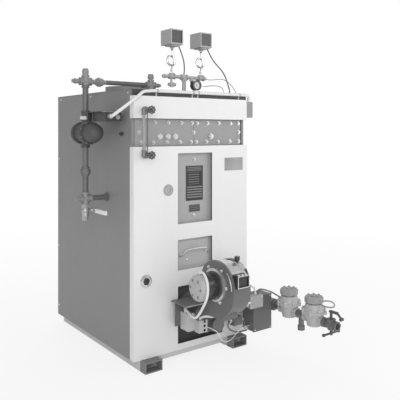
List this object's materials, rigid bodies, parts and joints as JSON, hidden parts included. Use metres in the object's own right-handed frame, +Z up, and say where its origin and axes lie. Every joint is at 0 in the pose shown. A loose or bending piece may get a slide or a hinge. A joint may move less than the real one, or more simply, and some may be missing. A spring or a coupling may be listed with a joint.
{
  "type": "steam boiler",
  "caption": "Upright jacketed gas-fired steam boiler on skids, with float water column, gauge glass, pressure controls on siphons, forced-draught front burner and gas valve train.",
  "frame": {"origin": "on the floor, midway between the four anchor holes of the skids", "axes": "+X to the right seen from the burner front, +Y to the rear, +Z up; the burner front faces -Y"},
  "size_m": [1.209, 1.722, 1.954],
  "materials": {
    "skid_paint": "matt dark grey paint",
    "base_paint": "pale grey paint",
    "casing_paint": "dark heat-resisting paint",
    "jacket_grey": "mid-dark grey enamel",
    "white_enamel": "satin white enamel",
    "header_grey": "satin grey paint",
    "bright_steel": "bright steel",
    "bronze_fitting": "dull cast bronze",
    "gauge_glass": "clear glass",
    "black_iron": "black iron pipe",
    "float_casting": "painted grey iron",
    "black_enamel": "gloss black enamel",
    "lever_sleeve": "white plastic sleeve",
    "control_grey": "grey enamel",
    "cable_sheath": "dark sheath",
    "conduit_white": "pale flexible conduit",
    "burner_paint": "dark grey paint",
    "bright_sheet": "bright sheet",
    "box_grey": "light grey enamel",
    "cabinet_grey": "dark grey enamel",
    "valve_grey": "die-cast aluminium"
  },
  "bodies": {
    "boiler": {"left_skid": "skid_paint", "right_skid": "skid_paint", "base_frame": "base_paint", "furnace_casing": "casing_paint", "left_side_panel": "jacket_grey", "right_side_panel": "jacket_grey", "rear_panel": "jacket_grey", "top_panel": "jacket_grey", "upper_front_panel": "white_enamel", "lower_front_panel": "white_enamel", "left_header_plate": "header_grey", "right_header_plate": "header_grey", "rating_cover": "header_grey", "inspection_door": "header_grey", "door_handle": "bright_steel", "sight_port": "bright_steel", "panel_latch": "bright_steel", "upper_gauge_valve": "bronze_fitting", "lower_gauge_valve": "bronze_fitting", "gauge_glass": "gauge_glass", "gauge_guard": "bright_steel", "flue_collar": "jacket_grey", "steam_outlet": "black_iron", "upper_cross": "black_iron", "equalizing_line": "black_iron", "float_body": "float_casting", "float_bowl": "float_casting", "float_switch": "black_enamel", "drop_pipe": "black_iron", "lower_cross": "black_iron", "blowdown_valve": "bronze_fitting", "control_manifold": "black_iron", "left_siphon": "bright_steel", "right_siphon": "bright_steel", "left_control": "control_grey", "right_control": "control_grey", "pressure_gauge": "black_enamel", "left_control_cable": "cable_sheath", "right_control_cable": "cable_sheath", "top_conduit": "conduit_white", "side_junction_box": "control_grey", "burner_housing": "burner_paint", "blower_drum": "bright_sheet", "burner_motor": "black_enamel", "air_shutter": "black_enamel", "ignition_transformer": "box_grey", "flame_relay": "box_grey", "control_cabinet": "cabinet_grey", "burner_junction_box": "box_grey", "motor_conduit": "conduit_white", "relay_conduit": "conduit_white", "gas_pipe": "black_iron", "first_gas_valve": "valve_grey", "gas_drip_leg": "black_iron", "second_gas_valve": "valve_grey", "gas_cock": "black_iron"},
    "blowdown_lever": {"blowdown_lever": "lever_sleeve"},
    "upper_wheel": {"upper_gauge_wheel": "bronze_fitting"},
    "lower_wheel": {"lower_gauge_wheel": "bronze_fitting"},
    "gas_cock_handle": {"gas_cock_handle": "bright_steel"}
  },
  "joints": [
    {"name": "blowdown_lever_turn", "type": "hinge", "parent": "boiler", "child": "blowdown_lever", "pos_m": [-0.516, -0.2075, 0.869], "axis": [1, 0, 0], "range_deg": [0, 90]},
    {"name": "upper_gauge_wheel_turn", "type": "hinge", "parent": "boiler", "child": "upper_wheel", "pos_m": [-0.338, -0.5925, 1.44], "axis": [0, -1, 0], "range_deg": [0, 720]},
    {"name": "lower_gauge_wheel_turn", "type": "hinge", "parent": "boiler", "child": "lower_wheel", "pos_m": [-0.338, -0.5925, 1.193], "axis": [0, -1, 0], "range_deg": [0, 720]},
    {"name": "gas_cock_turn", "type": "hinge", "parent": "boiler", "child": "gas_cock_handle", "pos_m": [0.51, -1.1185, 0.245], "axis": [0, 0, 1], "range_deg": [0, 90]}
  ]
}
